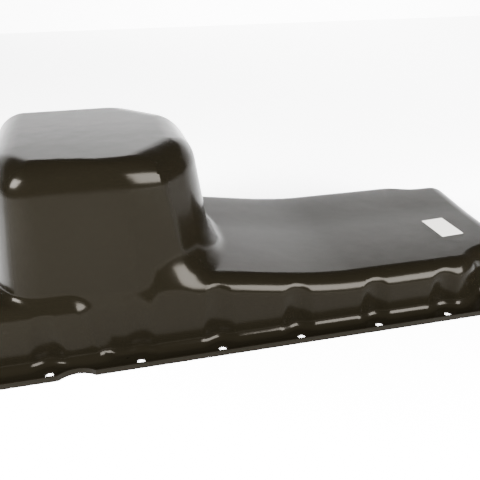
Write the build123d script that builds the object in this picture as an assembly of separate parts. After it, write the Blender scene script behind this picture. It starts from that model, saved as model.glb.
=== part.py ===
from build123d import *

import math
import os

# Engine oil pan, lying upside down on its flange as it would on a bench.
# Millimetres. +X runs to the shallow end, +Z up, Z 0 is the gasket face.
# The pan is one deep-drawn sheet, so its outer and inner skins are the same form, one
# sheet thickness apart: drawn_form(0) is the outside, drawn_form(sheet) the inside.

sheet = 1.5

# flange, its turned-up lip and the bolts
flange_length = 573.0
flange_width = 238.0
flange_corner_radius = 14.0
lip_height = 5.5
lip_edge_radius = 0.6
bolt_hole_diameter = 7.0
bolt_edge_distance = 9.0
bolt_stations = (-202.8, -127.6, -56.3, 16.4, 92.2, 163.2, 234.0)
end_bolt_half_spacing = 42.0
scallop_x = -180.5
scallop_depth = 5.5
scallop_radius = 24.0
notch_radius = 19.0
notch_edge_radius = 5.0
foot_radius = 8.0

# shallow tray
tray_half_width = 99.5
tray_half_length = 268.0
tray_height = 46.0
tray_ramp_height = 66.0
tray_ramp_start = 75.0
tray_ramp_end = -105.0
near_draft = 7.5
far_draft = 5.5
end_draft = 8.0
tray_corner_radius = 22.0
shoulder_radius = 16.0

# corners of the shallow end: a step on the near side, a cut-off corner on the far side
step_start = 198.0
step_depth = 16.0
step_run = 10.0
step_edge_radius = 6.0
cut_corner_start = 196.0
cut_corner_depth = 48.0
cut_corner_draft = 12.0

# deep sump
sump_height = 172.0
sump_foot_x = -20.0
sump_right_skew = 12.0
sump_right_draft = 15.5
sump_corner_start = -36.0
sump_corner_y = 60.0
sump_corner_depth = 49.0
sump_corner_draft = 9.0
sump_corner_radius = 35.0
sump_foot_radius = 22.0
sump_edge_radius = 30.0

# recessed left part of the near wall, over a ledge
ledge_height = 56.0
recess_depth = 5.6
recess_draft = 13.0
ledge_depth = 12.0
jog_foot_x = -156.7
jog_depth = 33.2
jog_run = 26.0
jog_rise = 19.5
jog_draft = 3.0
recess_corner_radius = 16.0
ledge_radius = 8.0

# drain in the sump's end wall
drain_height = 138.0
drain_y = 10.0
boss_diameter = 26.0
boss_thickness = 7.0
boss_spigot_diameter = 20.0
thread_diameter = 14.0
thread_clearance = 0.1
washer_diameter = 22.0
washer_thickness = 1.5
plug_flange_diameter = 21.0
plug_flange_thickness = 2.5
plug_hexagon = 17.0
plug_head_height = 8.0
plug_shank_length = 14.0

# paper label on the tray floor
label_length = 25.0
label_width = 38.0
label_thickness = 0.25
label_x = 201.0
label_y = -22.0
label_turn = 4.0

bolt_x_end = flange_length / 2 - bolt_edge_distance
bolt_y = flange_width / 2 - bolt_edge_distance + 1.0


def wall(start, end, draft, skin):
    """Plane of a wall over the foot line start-end, leaning in by draft, moved in by skin."""
    along = Vector(end[0] - start[0], end[1] - start[1], 0).normalized()
    outward = Vector(along.Y, -along.X, 0)
    lean = math.radians(draft)
    normal = outward * math.cos(lean) + Vector(0, 0, math.sin(lean))
    return Plane(origin=Vector(start[0], start[1], 0) - normal * skin, x_dir=along, z_dir=normal)


def near_wall(skin):
    return wall((-tray_half_length, -tray_half_width), (tray_half_length, -tray_half_width), near_draft, skin)


def far_wall(skin):
    return wall((tray_half_length, tray_half_width), (-tray_half_length, tray_half_width), far_draft, skin)


def left_wall(skin):
    return wall((-tray_half_length, tray_half_width), (-tray_half_length, -tray_half_width), end_draft, skin)


def right_wall(skin):
    return wall((tray_half_length, -tray_half_width), (tray_half_length, tray_half_width), end_draft, skin)


def cut_corner_wall(skin):
    start = (tray_half_length, tray_half_width - cut_corner_depth)
    return wall(start, (cut_corner_start, tray_half_width), cut_corner_draft, skin)


def step_walls(skin):
    foot = -tray_half_width
    corner = (step_start + step_run, foot + step_depth)
    across = wall((step_start, foot), corner, near_draft, skin)
    along = wall(corner, (tray_half_length, foot + step_depth), near_draft, skin)
    return across, along


def sump_right_wall(skin):
    start = (sump_foot_x, -tray_half_width)
    return wall(start, (sump_foot_x - sump_right_skew, tray_half_width - 50), sump_right_draft, skin)


def sump_corner_wall(skin):
    end = (sump_corner_start - sump_corner_depth, tray_half_width)
    return wall((sump_corner_start, sump_corner_y), end, sump_corner_draft, skin)


def sump_left_wall(skin):
    x = -tray_half_length + ledge_depth
    return wall((x, tray_half_width), (x, -tray_half_width), end_draft, skin)


def recess_wall(skin):
    y = -tray_half_width + recess_depth
    return wall((-tray_half_length, y), (jog_foot_x, y), recess_draft, skin)


def jog_wall(skin):
    start = (jog_foot_x, -tray_half_width + jog_depth)
    return wall(start, (start[0] + jog_run, start[1] - jog_rise), jog_draft, skin)


def ledge_top(skin):
    return Plane(origin=(0, 0, ledge_height - skin))


def sump_top(skin):
    return Plane(origin=(0, 0, sump_height - skin))


def inside(body, planes):
    for plane in planes:
        body = split(body, bisect_by=plane, keep=Keep.BOTTOM)
    return body


def outside(body, planes):
    for plane in planes:
        body = split(body, bisect_by=plane, keep=Keep.TOP)
    return body


def lies_on(edge, plane):
    return all(abs((edge @ t - plane.origin).dot(plane.z_dir)) < 0.02 for t in (0, 0.25, 0.5, 0.75, 1))


def edges_between(body, planes):
    """Edges that lie on at least two of the planes."""
    return [edge for edge in body.edges() if sum(lies_on(edge, plane) for plane in planes) > 1]


def edges_on(body, plane):
    return [edge for edge in body.edges() if lies_on(edge, plane)]


def same_edges(body, edges):
    """The edges of a changed body that lie where the given ones did."""
    return [body.edges().sort_by_distance(edge @ 0.5)[0] for edge in edges]


def outer_block(low, high):
    size = (flange_length, flange_width, high - low)
    return Pos(0, 0, (low + high) / 2) * Box(*size)


def tray(skin):
    """Shallow tray: its side profile drawn across, cut to its sloping walls."""
    top = tray_height - skin
    ramp_top = tray_ramp_height - skin
    ledge = ledge_height - skin
    end = flange_length / 2
    with BuildSketch(Plane.XZ) as profile:
        with BuildLine():
            Polyline((end, 0), (end, top), (tray_ramp_start, top))
            Spline((tray_ramp_start, top), (tray_ramp_end, ramp_top), tangents=((-1, 0), (-1, 0)))
            Polyline((tray_ramp_end, ramp_top), (tray_ramp_end, ledge), (-end, ledge), (-end, 0), (end, 0))
        make_face()
    body = extrude(profile.sketch, flange_width / 2, both=True)
    walls = [near_wall(skin), far_wall(skin), left_wall(skin), right_wall(skin), cut_corner_wall(skin)]
    body = inside(body, walls)
    body = body - outside(outer_block(0, sump_height), step_walls(skin))
    corners = edges_between(body, [right_wall(skin), cut_corner_wall(skin), step_walls(skin)[1]])
    corners += edges_between(body, [left_wall(skin), near_wall(skin)])
    return fillet(corners, tray_corner_radius - skin)


def sump(skin):
    """Deep sump: a block cut to its sloping walls, its near wall stepped back on the left."""
    body = outer_block(tray_height / 2, sump_height - skin)
    corner = [sump_right_wall(skin), sump_corner_wall(skin)]
    body = inside(body, [near_wall(skin), far_wall(skin), sump_left_wall(skin)] + corner)
    body = body - outside(outer_block(0, sump_height), [recess_wall(skin), jog_wall(skin)])
    body = fillet(edges_between(body, corner), sump_corner_radius - skin)
    body = fillet(edges_between(body, [recess_wall(skin), jog_wall(skin)]), recess_corner_radius + skin)
    return fillet(edges_between(body, [recess_wall(skin), sump_left_wall(skin)]), tray_corner_radius - skin)


def drawn_form(skin):
    """The whole drawn shape above the flange, with every edge rounded."""
    low, high = tray(skin), sump(skin)
    body = low + high
    walls = [near_wall(skin), far_wall(skin)]
    foot = [edge for edge in new_edges(low, high, combined=body) if not any(lies_on(edge, w) for w in walls)]
    right_foot = [edge for edge in foot if edge.center().X > tray_ramp_end]
    left_foot = [edge for edge in foot if edge.center().X < tray_ramp_end]
    body = fillet(right_foot, sump_foot_radius + skin)
    left_foot = same_edges(body, left_foot)
    body = fillet(left_foot, ledge_radius + skin)

    right_edges = [edge for edge in edges_on(body, sump_top(skin)) if edge.center().X > jog_foot_x + 2 * jog_run]
    right_edges = [edge for edge in right_edges if not any(lies_on(edge, w) for w in walls)]
    body = fillet(right_edges, sump_edge_radius - skin)
    step_corner = edges_between(body, step_walls(skin))
    body = fillet(step_corner, step_edge_radius + skin)
    rim = sharp_edges(body, tray_height / 4)
    body = fillet(rim, shoulder_radius - skin)
    return with_flange(with_notches(body, skin), skin)


def bolt_places():
    """Every bolt hole: two long rows, two corner bolts and two middle ones at each end."""
    rows = [(x, side * bolt_y) for side in (-1, 1) for x in (-bolt_x_end,) + bolt_stations]
    ends = [(side * bolt_x_end, y) for side in (-1, 1) for y in (-end_bolt_half_spacing, end_bolt_half_spacing)]
    corners = [(bolt_x_end, side * bolt_y) for side in (-1, 1)]
    return rows + ends + corners


def with_notches(body, skin):
    """A round notch in the wall over each bolt, so that its head and a socket go in."""
    for x, y in bolt_places():
        notch = Pos(x, y, sump_height / 2) * Cylinder(notch_radius + skin, sump_height + 2)
        before = body
        body = body - notch
        lips = [edge for edge in new_edges(before, notch, combined=body) if edge.center().Z > 0.1]
        if lips:
            body = fillet(lips, notch_edge_radius - skin)
    return body


def with_flange(body, skin):
    """Flange sheet under the drawn form, blended into its walls."""
    thickness = sheet if skin == 0 else 4 * sheet
    plate = Pos(0, 0, sheet - skin - thickness / 2) * Box(flange_length, flange_width, thickness)
    joined = body + plate
    foot = [edge for edge in joined.edges() if abs(edge.center().Z - sheet + skin) < 0.01]
    foot = [edge for edge in foot if abs(edge.center().X) < tray_half_length + 5 and abs(edge.center().Y) < bolt_y]
    return fillet(foot, foot_radius + skin)


def is_upright(edge):
    return abs(edge.tangent_at(0.5).Z) > 0.7


def sharp_edges(body, lowest):
    """Edges above a height whose two faces meet at an angle."""
    found = []
    faces = body.faces()
    for edge in body.edges():
        if edge.center().Z < lowest and not is_upright(edge):
            continue
        normals = [face.normal_at(edge @ 0.5) for face in faces if any(edge.is_same(e) for e in face.edges())]
        if len(normals) == 2 and normals[0].get_angle(normals[1]) > 3:
            found.append(edge)
    return found


def flange_outline():
    """Outer edge of the flange: a rounded rectangle with a shallow scallop on each long side."""
    outline = RectangleRounded(flange_length, flange_width, flange_corner_radius)
    scallop = Pos(scallop_x, -flange_width / 2 - scallop_radius + scallop_depth) * Circle(scallop_radius)
    return outline - scallop


def turned_up_lip():
    """Edge of the flange turned up all round, to stiffen it."""
    outline = flange_outline()
    inner = offset(outline, -sheet)
    lip = extrude(outline, lip_height) - extrude(inner, lip_height)
    return lip


def pan_shell():
    """The pressing: outside form less inside form, trimmed, with its lip and bolt holes."""
    shell = drawn_form(0) - drawn_form(sheet)
    trim = extrude(flange_outline(), sump_height + 1)
    shell = (shell & trim) + turned_up_lip()
    for x, y in bolt_places():
        shell = shell - Pos(x, y, 0) * Cylinder(bolt_hole_diameter / 2, 4 * sheet)
    drain_hole = drain_frame(0) * Cylinder(boss_spigot_diameter / 2, 8 * sheet)
    return shell - drain_hole


def drain_frame(rise):
    """Frame on the outside of the sump's left wall at the drain, Z outward, raised by rise."""
    plane = sump_left_wall(0)
    x = -tray_half_length + ledge_depth + drain_height * math.tan(math.radians(end_draft))
    return Plane(origin=(x, drain_y, drain_height), x_dir=(0, 1, 0), z_dir=plane.z_dir).offset(rise).location


def drain_boss():
    """Threaded boss seated on the wall, its spigot through the wall."""
    ring = drain_frame(boss_thickness / 2) * Cylinder(boss_diameter / 2, boss_thickness)
    spigot = drain_frame(-sheet / 2) * Cylinder(boss_spigot_diameter / 2, sheet)
    bore = drain_frame(0) * Cylinder(thread_diameter / 2, 4 * boss_thickness)
    return ring + spigot - bore


def plug_washer():
    place = drain_frame(boss_thickness + washer_thickness / 2)
    ring = place * Cylinder(washer_diameter / 2, washer_thickness)
    return ring - place * Cylinder(thread_diameter / 2 + thread_clearance, washer_thickness)


def drain_plug():
    """Flanged hexagon plug, screwed in on its washer."""
    seat = boss_thickness + washer_thickness
    flange = drain_frame(seat + plug_flange_thickness / 2)
    plug = flange * Cylinder(plug_flange_diameter / 2, plug_flange_thickness)
    hexagon = RegularPolygon(plug_hexagon / 2, 6, major_radius=False)
    plug += drain_frame(seat + plug_flange_thickness) * extrude(hexagon, plug_head_height)
    radius = thread_diameter / 2 - thread_clearance
    plug += drain_frame(seat - plug_shank_length / 2) * Cylinder(radius, plug_shank_length)
    return plug


def paper_label():
    place = Pos(label_x, label_y, tray_height + label_thickness / 2) * Rot(0, 0, label_turn)
    return place * Box(label_length, label_width, label_thickness)


def main():
    os.makedirs("parts", exist_ok=True)
    pieces = {
        "pan_shell": pan_shell,
        "drain_boss": drain_boss,
        "plug_washer": plug_washer,
        "drain_plug": drain_plug,
        "paper_label": paper_label,
    }
    for name, make in pieces.items():
        export_step(make(), f"parts/{name}.step")


if __name__ == "__main__":
    main()
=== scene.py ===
import math

import bpy
import numpy as np
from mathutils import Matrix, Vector


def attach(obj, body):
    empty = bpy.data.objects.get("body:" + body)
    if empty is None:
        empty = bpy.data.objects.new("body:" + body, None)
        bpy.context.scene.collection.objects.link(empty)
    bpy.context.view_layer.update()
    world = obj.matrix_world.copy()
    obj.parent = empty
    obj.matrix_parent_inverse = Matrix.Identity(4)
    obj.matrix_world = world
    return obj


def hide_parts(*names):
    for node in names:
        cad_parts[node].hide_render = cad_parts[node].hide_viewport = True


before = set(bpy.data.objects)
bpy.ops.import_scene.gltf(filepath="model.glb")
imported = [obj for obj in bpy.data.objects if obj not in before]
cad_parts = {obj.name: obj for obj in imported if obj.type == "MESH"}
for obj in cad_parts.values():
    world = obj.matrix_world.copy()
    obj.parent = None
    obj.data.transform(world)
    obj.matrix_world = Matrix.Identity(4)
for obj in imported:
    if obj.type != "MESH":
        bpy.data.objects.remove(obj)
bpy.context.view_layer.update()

# camera, solved from the photograph: metres and degrees in the pan's frame
CAMERA_PLACE = (-0.1415, -0.522, 0.332)
CAMERA_TURN = 13.75
CAMERA_PITCH = 28.0
CAMERA_LENS = 45.0

# light: a dim room, pale glowing paper, softboxes as name, place, target, size, power
ROOM_LIGHT = 0.35
FLOOR_GLOW = 1.2
BACKDROP_HEIGHT, BACKDROP_Y, STAGE_WIDTH = 1.3, 1.7, 8
SOFTBOXES = (
    ("front", (0.95, -1.5, 0.85), (0.1, -0.1, 0.03), (1.1, 0.9), 800),
    ("side", (-0.8, -0.4, 0.5), (-0.36, -0.23, 0), (0.3, 0.3), 120),
    ("backdrop", (0.7, 0.7, 1.3), (0.95, 1.7, 1.0), (0.8, 0.6), 90),
)

# gloss black paint, its sheen a little warm
PAINT_COLOUR = (0.0012, 0.001, 0.0006, 1)
PAINT_SPECULAR = 0.016
PAINT_SHEEN = (1.0, 0.93, 0.82, 1)
PAINT_ROUGHNESS = (0.13, 0.21)
GLOSS_SCALE, GLOSS_DETAIL = 9, 3
WAVE_SCALE, WAVE_DETAIL, WAVE_STRENGTH, WAVE_HEIGHT = 32, 2, 0.25, 0.0012

# plain materials as colour, roughness, metallic
ALUMINIUM = ((0.2, 0.2, 0.195, 1), 0.4, 1.0)
STEEL = ((0.1, 0.095, 0.08, 1), 0.35, 1.0)
PAPER = ((0.2, 0.195, 0.18, 1), 0.8, 0.0)

# drawn form of the pan, in millimetres and degrees, within the construction model's box
SHEET = 1.5
HALF_WIDTH, HALF_LENGTH = 99.5, 268.0
TRAY_HEIGHT, RAMP_HEIGHT, LEDGE_HEIGHT = 46.0, 66.0, 56.0
CROWN_HEIGHT, CROWN_START, CROWN_END = 3.0, 5.0, 90.0
RAMP_START, RAMP_END, LEDGE_RUN = 75.0, -105.0, 10
FOOT_BLEND_START, FOOT_BLEND_RUN = -125.0, 40
NEAR_DRAFT, FAR_DRAFT, END_DRAFT = 4.0, 5.5, 8.0
SHOULDER, END_CORNER = 16.0, 22.0
STEP_START, STEP_RUN, STEP_EDGE = 198.0, 10.0, 6.0
NEAR_STEP, FAR_STEP = 16.0, 10.0
SUMP_HEIGHT, SUMP_TILT = 170.2, 1.2
SUMP_FOOT_X, SUMP_SKEW, SUMP_DRAFT = -26.0, 9.5, 7.5
NEAR_CORNER, NEAR_CORNER_RUN, NEAR_CORNER_DEPTH, NEAR_CORNER_DRAFT = -65.0, 34.0, 35.0, 10.0
FAR_CORNER, FAR_CORNER_RUN, FAR_CORNER_DRAFT = (-44.0, 66.0), 36.0, 7.0
SUMP_CORNER, SUMP_FOOT, SUMP_EDGE = 30.0, 24.0, 36.0
SUMP_SHOULDER, SUMP_INSET, LEDGE_FOOT = 24.0, 12.0, 8.0
DEEP_CORNER, DEEP_CORNER_DRAFT, SUMP_UPRIGHT = (-223.6, -89.9), 6.8, 12.0
BULGE_SLOPE_Y, BULGE_SLOPE_DRAFT, BULGE_END, BULGE_RADIUS = -114.0, 20.0, -150.0, 10.0
RECESS_DEPTH, RECESS_DRAFT, RECESS_CORNER = 5.6, 5.0, 16.0
JOG_X, JOG_RUN, JOG_DRAFT = -144.0, 10.0, 5.0
BOLT_Y, BOLT_END, END_BOLT_Y = 111.0, 277.5, 42.0
BOLT_STATIONS = (-202.8, -127.6, -56.3, 16.4, 92.2, 163.2, 234.0)
NOTCH_RADIUS, NOTCH_EDGE = 16.0, 4.0
FLANGE_BLEND = 8.0

# visual mesh: SUNK is how far the drawn skin lies below the flange faces, and a face
# of the construction model is kept if it is flat or beyond the bolts by LIP_REACH
CELL = 2.7
SUNK = 0.1
SKIN_REACH = FLANGE_BLEND + 6
BOLT_CLEARANCE = 4
FLAT_TOLERANCE, LIP_REACH = 0.01, 1.5
END_MARGIN, SIDE_MARGIN, TOP_MARGIN = 6, 5, 10
PROJECTION_STEPS, LEAST_SLOPE = 6, 0.05
MM = 0.001


def add_camera():
    data = bpy.data.cameras.new("camera")
    data.lens = CAMERA_LENS
    data.sensor_width = 36.0
    camera = bpy.data.objects.new("camera", data)
    bpy.context.collection.objects.link(camera)
    camera.location = CAMERA_PLACE
    camera.rotation_euler = (math.radians(90 - CAMERA_PITCH), 0, -math.radians(CAMERA_TURN))
    bpy.context.scene.camera = camera


def new_material(name):
    material = bpy.data.materials.new(name)
    material.use_nodes = True
    nodes = material.node_tree.nodes
    return material, nodes, material.node_tree.links, nodes["Principled BSDF"]


def add_plane(name, size, place, turn, material):
    mesh = bpy.data.meshes.new(name)
    half_x, half_y = size[0] / 2, size[1] / 2
    corners = [(-half_x, -half_y, 0), (half_x, -half_y, 0), (half_x, half_y, 0), (-half_x, half_y, 0)]
    mesh.from_pydata(corners, [], [(0, 1, 2, 3)])
    plane = bpy.data.objects.new(name, mesh)
    bpy.context.collection.objects.link(plane)
    plane.location = place
    plane.rotation_euler = turn
    mesh.materials.append(material)


def add_area_light(name, place, target, size, power):
    data = bpy.data.lights.new(name, "AREA")
    data.shape = "RECTANGLE"
    data.size, data.size_y = size
    data.energy = power
    light = bpy.data.objects.new(name, data)
    bpy.context.collection.objects.link(light)
    light.location = place
    direction = Vector(target) - Vector(place)
    light.rotation_euler = direction.to_track_quat("-Z", "Y").to_euler()


def pale_paper(name, glow):
    material, _, _, shader = new_material(name)
    shader.inputs["Base Color"].default_value = (0.85, 0.85, 0.85, 1)
    shader.inputs["Roughness"].default_value = 0.9
    shader.inputs["Specular IOR Level"].default_value = 0.1
    shader.inputs["Emission Color"].default_value = (1, 1, 1, 1)
    shader.inputs["Emission Strength"].default_value = glow
    return material


def add_stage():
    """Pale floor and backdrop in a dim room, lit by softboxes."""
    floor_paper = pale_paper("stage_floor", FLOOR_GLOW)
    add_plane("floor", (STAGE_WIDTH, STAGE_WIDTH), (0, 0, 0), (0, 0, 0), floor_paper)
    backdrop_paper = pale_paper("stage_backdrop", FLOOR_GLOW)
    backdrop_place = (0, BACKDROP_Y, BACKDROP_HEIGHT / 2)
    add_plane("backdrop", (STAGE_WIDTH, BACKDROP_HEIGHT), backdrop_place, (math.pi / 2, 0, 0), backdrop_paper)
    world = bpy.data.worlds.new("studio")
    world.use_nodes = True
    world.node_tree.nodes["Background"].inputs["Color"].default_value = (1, 1, 1, 1)
    world.node_tree.nodes["Background"].inputs["Strength"].default_value = ROOM_LIGHT
    bpy.context.scene.world = world
    for name, place, target, size, power in SOFTBOXES:
        add_area_light(name, place, target, size, power)


def wall(p, start, end, draft):
    """Distance outside a wall over the foot line start-end that leans in by draft."""
    dx, dy = end[0] - start[0], end[1] - start[1]
    length = math.hypot(dx, dy)
    outward = ((p[0] - start[0]) * dy - (p[1] - start[1]) * dx) / length
    lean = math.radians(draft)
    return outward * math.cos(lean) + p[2] * math.sin(lean)


def meet(radius, *parts):
    """Intersection of forms with its edges rounded."""
    inside = np.maximum.reduce(parts)
    corner = sum(np.maximum(radius + part, 0) ** 2 for part in parts)
    return np.minimum(-radius, inside) + np.sqrt(corner)


def join(radius, a, b):
    """Union of two forms with the corner between them filled."""
    corner = np.maximum(radius - a, 0) ** 2 + np.maximum(radius - b, 0) ** 2
    return np.maximum(radius, np.minimum(a, b)) - np.sqrt(corner)


def ease(t):
    t = np.clip(t, 0, 1)
    return t * t * (3 - 2 * t)


def tray_top(p):
    ramp = (RAMP_HEIGHT - TRAY_HEIGHT) * ease((RAMP_START - p[0]) / (RAMP_START - RAMP_END))
    ledge = ease((RAMP_END - p[0]) / LEDGE_RUN)
    crown = CROWN_HEIGHT * ease((p[1] - CROWN_START) / (CROWN_END - CROWN_START))
    return p[2] - (TRAY_HEIGHT + ramp + crown) * (1 - ledge) - LEDGE_HEIGHT * ledge


def stepped_side(p, side, step, draft):
    """Long side of the tray with a step in near its shallow end; side is -1 near, 1 far."""
    mirrored = (p[0], side * p[1], p[2])
    corner = (STEP_START + STEP_RUN, HALF_WIDTH - step)
    full = wall(mirrored, (HALF_LENGTH, HALF_WIDTH), (-HALF_LENGTH, HALF_WIDTH), draft)
    across = wall(mirrored, corner, (STEP_START, HALF_WIDTH), draft)
    along = wall(mirrored, (HALF_LENGTH, corner[1]), corner, draft)
    return meet(SHOULDER, full, join(STEP_EDGE, across, along))


def sump_front(p):
    recess_y = RECESS_DEPTH - HALF_WIDTH
    recess = wall(p, (-HALF_LENGTH, recess_y), (JOG_X, recess_y), RECESS_DRAFT)
    jog = wall(p, (JOG_X, recess_y), (JOG_X + JOG_RUN, -HALF_WIDTH), JOG_DRAFT)
    return join(RECESS_CORNER, recess, jog)


def sump_top(p):
    tilt = math.radians(SUMP_TILT)
    return (p[2] - SUMP_HEIGHT) * math.cos(tilt) - p[1] * math.sin(tilt)


def sump_core(p):
    right = wall(p, (SUMP_FOOT_X, -HALF_WIDTH), (SUMP_FOOT_X - SUMP_SKEW, HALF_WIDTH), SUMP_DRAFT)
    near_end = (NEAR_CORNER + NEAR_CORNER_RUN, NEAR_CORNER_DEPTH - HALF_WIDTH)
    near = wall(p, (NEAR_CORNER, -HALF_WIDTH), near_end, NEAR_CORNER_DRAFT)
    far = wall(p, FAR_CORNER, (FAR_CORNER[0] - FAR_CORNER_RUN, HALF_WIDTH), FAR_CORNER_DRAFT)
    left_x = SUMP_INSET - HALF_LENGTH
    left = wall(p, (left_x, HALF_WIDTH), (left_x, -HALF_WIDTH), END_DRAFT)
    near_side = wall(p, (-HALF_LENGTH, -HALF_WIDTH), (HALF_LENGTH, -HALF_WIDTH), NEAR_DRAFT)
    deep_end = (DEEP_CORNER[0] - HALF_WIDTH, DEEP_CORNER[1] + HALF_WIDTH)
    deep = wall(p, deep_end, DEEP_CORNER, DEEP_CORNER_DRAFT)
    sides = meet(SUMP_CORNER, right, near, far)
    front = meet(SUMP_UPRIGHT, near_side, sump_front(p), sides, deep)
    return meet(SUMP_EDGE, meet(SUMP_SHOULDER, sump_top(p), front, left), sides)


def bulge(p):
    """Low swelling at the foot of the recessed wall, its top sloping back to the wall."""
    near = wall(p, (-HALF_LENGTH, -HALF_WIDTH), (HALF_LENGTH, -HALF_WIDTH), NEAR_DRAFT)
    slope = wall(p, (-HALF_LENGTH, BULGE_SLOPE_Y), (HALF_LENGTH, BULGE_SLOPE_Y), BULGE_SLOPE_DRAFT)
    left = wall(p, (-HALF_LENGTH, HALF_WIDTH), (-HALF_LENGTH, -HALF_WIDTH), END_DRAFT)
    end = wall(p, (BULGE_END, -HALF_WIDTH), (BULGE_END, HALF_WIDTH), BULGE_SLOPE_DRAFT)
    return meet(BULGE_RADIUS, near, slope, left, end, p[1], p[2] - LEDGE_HEIGHT)


def bolt_places():
    rows = [(x, side * BOLT_Y) for side in (-1, 1) for x in BOLT_STATIONS]
    return rows + [(side * BOLT_END, y) for side in (-1, 1) for y in (-END_BOLT_Y, END_BOLT_Y)]


def drawn_body(p):
    far = stepped_side(p, 1, FAR_STEP, FAR_DRAFT)
    near = stepped_side(p, -1, NEAR_STEP, NEAR_DRAFT)
    left = wall(p, (-HALF_LENGTH, HALF_WIDTH), (-HALF_LENGTH, -HALF_WIDTH), END_DRAFT)
    right = wall(p, (HALF_LENGTH, -HALF_WIDTH), (HALF_LENGTH, HALF_WIDTH), END_DRAFT)
    blend = ease((p[0] - FOOT_BLEND_START) / FOOT_BLEND_RUN)
    foot = LEDGE_FOOT * (1 - blend) + SUMP_FOOT * blend
    tray = meet(SHOULDER, tray_top(p), sump_front(p))
    body = meet(SHOULDER, join(foot, tray, sump_core(p)), near, far, left)
    body = join(LEDGE_FOOT, meet(END_CORNER, body, right), bulge(p))
    for x, y in bolt_places():
        body = meet(NOTCH_EDGE, body, NOTCH_RADIUS - np.hypot(p[0] - x, p[1] - y))
    return body


def drawn_form(p):
    return join(FLANGE_BLEND, drawn_body(p), p[2] - SHEET + SUNK)


def gradient(form, points, step=0.05):
    slope = np.empty_like(points)
    for axis in range(3):
        ahead, behind = points.copy(), points.copy()
        ahead[:, axis] += step
        behind[:, axis] -= step
        slope[:, axis] = (form(ahead.T) - form(behind.T)) / (2 * step)
    return slope


def surface_net(form, low, high, cell):
    """Quad mesh of the surface where form is 0, on a grid of cubes."""
    count = [int(math.ceil((b - a) / cell)) + 1 for a, b in zip(low, high)]
    grid = np.meshgrid(*[a + cell * np.arange(n) for a, n in zip(low, count)], indexing="ij")
    value = form(grid)
    shape = [n - 1 for n in count]
    crossings = np.zeros(shape)
    place = [np.zeros(shape) for _ in range(3)]
    corners = [(i, j, k) for i in (0, 1) for j in (0, 1) for k in (0, 1)]

    def corner(at):
        return value[tuple(slice(a, a + s) for a, s in zip(at, shape))]

    for at in corners:
        for axis in range(3):
            if at[axis]:
                continue
            other = tuple(1 if d == axis else at[d] for d in range(3))
            a, b = corner(at), corner(other)
            crosses = (a < 0) != (b < 0)
            share = np.where(crosses, a / np.where(crosses, a - b, 1), 0)
            crossings += crosses
            for d in range(3):
                place[d] += np.where(crosses, at[d] + (share if d == axis else 0), 0)

    active = crossings > 0
    index = np.full(shape, -1)
    index[active] = np.arange(active.sum())
    cells = np.argwhere(active)
    points = [low[d] + cell * (cells[:, d] + place[d][active] / crossings[active]) for d in range(3)]
    quads = [quads_across(value < 0, index, axis) for axis in range(3)]
    return np.stack(points, 1), np.concatenate(quads)


def quads_across(inside, index, axis):
    """One quad for each grid edge along axis that the surface crosses."""
    near = [slice(1, n - 1) for n in inside.shape]
    near[axis] = slice(0, inside.shape[axis] - 1)
    far = list(near)
    far[axis] = slice(1, inside.shape[axis])
    leaves = inside[tuple(near)]
    crosses = leaves != inside[tuple(far)]
    edges = np.argwhere(crosses)
    b, c = (axis + 1) % 3, (axis + 2) % 3
    edges[:, b] += 1
    edges[:, c] += 1

    def cell(step_b, step_c):
        at = edges.copy()
        at[:, b] -= step_b
        at[:, c] -= step_c
        return index[at[:, 0], at[:, 1], at[:, 2]]

    quads = np.stack([cell(1, 1), cell(0, 1), cell(0, 0), cell(1, 0)], 1)
    turned = ~leaves[crosses]
    quads[turned] = quads[turned][:, ::-1]
    return quads


def drawn_skin():
    """Outside skin of the drawn form as points, quads and normals, in millimetres."""
    low = (-BOLT_END - END_MARGIN, -BOLT_Y - SIDE_MARGIN, SHEET - CELL / 2)
    high = (BOLT_END + END_MARGIN, BOLT_Y + SIDE_MARGIN, SUMP_HEIGHT + TOP_MARGIN)
    points, quads = surface_net(drawn_form, low, high, CELL)
    for _ in range(PROJECTION_STEPS):
        slope = gradient(drawn_form, points)
        steepness = np.maximum((slope ** 2).sum(1), LEAST_SLOPE)
        points -= slope * (drawn_form(points.T) / steepness)[:, None]
    reach = drawn_body(points.T)
    from_bolt = np.min([np.hypot(points[:, 0] - x, points[:, 1] - y) for x, y in bolt_places()], 0)
    near_body = (reach < SKIN_REACH)[quads].any(1)
    quads = quads[near_body & (from_bolt > BOLT_CLEARANCE)[quads].all(1)]
    used = np.unique(quads)
    renumber = np.full(len(points), -1)
    renumber[used] = np.arange(len(used))
    points, quads = points[used], renumber[quads]
    normals = gradient(drawn_form, points)
    normals /= np.linalg.norm(normals, axis=1)[:, None]
    return points, quads, normals


def flange_faces():
    """The construction model's flange, lip and bolt holes, cut off where the walls rise."""
    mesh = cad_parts["pan_shell"].data
    points = np.array([v.co for v in mesh.vertices]) / MM
    corner_normals = np.array([n.vector for n in mesh.corner_normals])
    kept, normals = [], []
    for face in mesh.polygons:
        at = points[list(face.vertices)]
        centre = at.mean(0)
        flat = at[:, 2].max() < SHEET + FLAT_TOLERANCE
        beyond_bolts = abs(centre[1]) > BOLT_Y + LIP_REACH or abs(centre[0]) > BOLT_END + LIP_REACH
        if flat or beyond_bolts:
            kept.append(list(face.vertices))
            normals.extend(corner_normals[list(face.loop_indices)])
    return points, kept, normals


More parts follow.
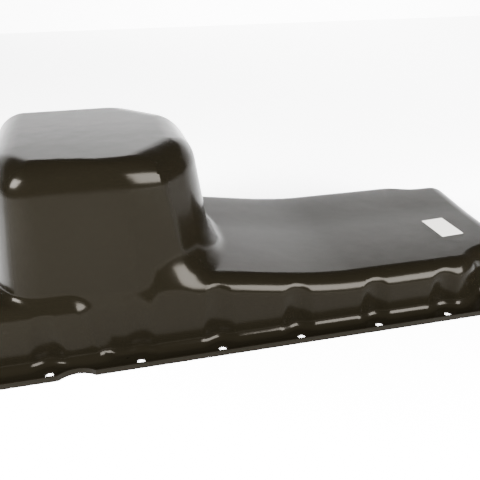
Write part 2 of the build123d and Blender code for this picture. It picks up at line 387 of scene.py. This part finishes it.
def pan_pressing(material):
    """Both skins, joined where they end, with the construction model's flange faces, as one piece."""
    points, quads, normals = drawn_skin()
    count = len(points)
    inner = points - normals * (SHEET - 2 * SUNK)
    edges = np.concatenate([quads[:, [i, (i + 1) % 4]] for i in range(4)])
    keys = np.sort(edges, 1)
    _, first, times = np.unique(keys, axis=0, return_index=True, return_counts=True)
    rim = edges[first[times == 1]]
    rim_faces = np.stack([rim[:, 1], rim[:, 0], rim[:, 0] + count, rim[:, 1] + count], 1)
    faces = np.concatenate([quads, quads[:, ::-1] + count])
    loop_normals = np.concatenate([normals, -normals])[faces].reshape(-1, 3)
    rim_normals = np.repeat([[0.0, 0.0, -1.0]], rim_faces.size, 0)
    cad_points, cad_faces, cad_normals = flange_faces()
    used = sorted({v for face in cad_faces for v in face})
    renumber = {v: i + 2 * count for i, v in enumerate(used)}
    all_points = np.concatenate([points, inner, cad_points[used]]) * MM
    all_faces = faces.tolist() + rim_faces.tolist() + [[renumber[v] for v in face] for face in cad_faces]
    all_normals = np.concatenate([loop_normals, rim_normals, np.array(cad_normals)])
    mesh = bpy.data.meshes.new("pan_pressing")
    mesh.from_pydata(all_points.tolist(), [], all_faces)
    mesh.polygons.foreach_set("use_smooth", [True] * len(mesh.polygons))
    mesh.normals_split_custom_set(all_normals.tolist())
    mesh.materials.append(material)
    pan = bpy.data.objects.new("pan_pressing", mesh)
    bpy.context.collection.objects.link(pan)
    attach(pan, "root")
    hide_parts("pan_shell")


def paint_material():
    """Gloss black paint: warm sheen, faint waves and slight changes of gloss."""
    material, nodes, links, shader = new_material("gloss_black_paint")
    shader.inputs["Base Color"].default_value = PAINT_COLOUR
    shader.inputs["Specular IOR Level"].default_value = PAINT_SPECULAR
    shader.inputs["Specular Tint"].default_value = PAINT_SHEEN
    place = nodes.new("ShaderNodeTexCoord")
    cloud = nodes.new("ShaderNodeTexNoise")
    cloud.inputs["Scale"].default_value = GLOSS_SCALE
    cloud.inputs["Detail"].default_value = GLOSS_DETAIL
    gloss = nodes.new("ShaderNodeMapRange")
    gloss.inputs["To Min"].default_value = PAINT_ROUGHNESS[0]
    gloss.inputs["To Max"].default_value = PAINT_ROUGHNESS[1]
    links.new(place.outputs["Object"], cloud.inputs["Vector"])
    links.new(cloud.outputs["Fac"], gloss.inputs["Value"])
    links.new(gloss.outputs["Result"], shader.inputs["Roughness"])
    waves = nodes.new("ShaderNodeTexNoise")
    waves.inputs["Scale"].default_value = WAVE_SCALE
    waves.inputs["Detail"].default_value = WAVE_DETAIL
    bump = nodes.new("ShaderNodeBump")
    bump.inputs["Strength"].default_value = WAVE_STRENGTH
    bump.inputs["Distance"].default_value = WAVE_HEIGHT
    links.new(place.outputs["Object"], waves.inputs["Vector"])
    links.new(waves.outputs["Fac"], bump.inputs["Height"])
    links.new(bump.outputs["Normal"], shader.inputs["Normal"])
    return material


def plain_material(name, colour, roughness, metallic):
    material, _, _, shader = new_material(name)
    shader.inputs["Base Color"].default_value = colour
    shader.inputs["Roughness"].default_value = roughness
    shader.inputs["Metallic"].default_value = metallic
    return material


def dress(node, material):
    mesh = bpy.data.objects[node].data
    mesh.materials.clear()
    mesh.materials.append(material)


add_camera()
add_stage()
paint = paint_material()
pan_pressing(paint)
dress("drain_boss", paint)
dress("plug_washer", plain_material("bare_aluminium", *ALUMINIUM))
dress("drain_plug", plain_material("plated_steel", *STEEL))
dress("paper_label", plain_material("label_paper", *PAPER))
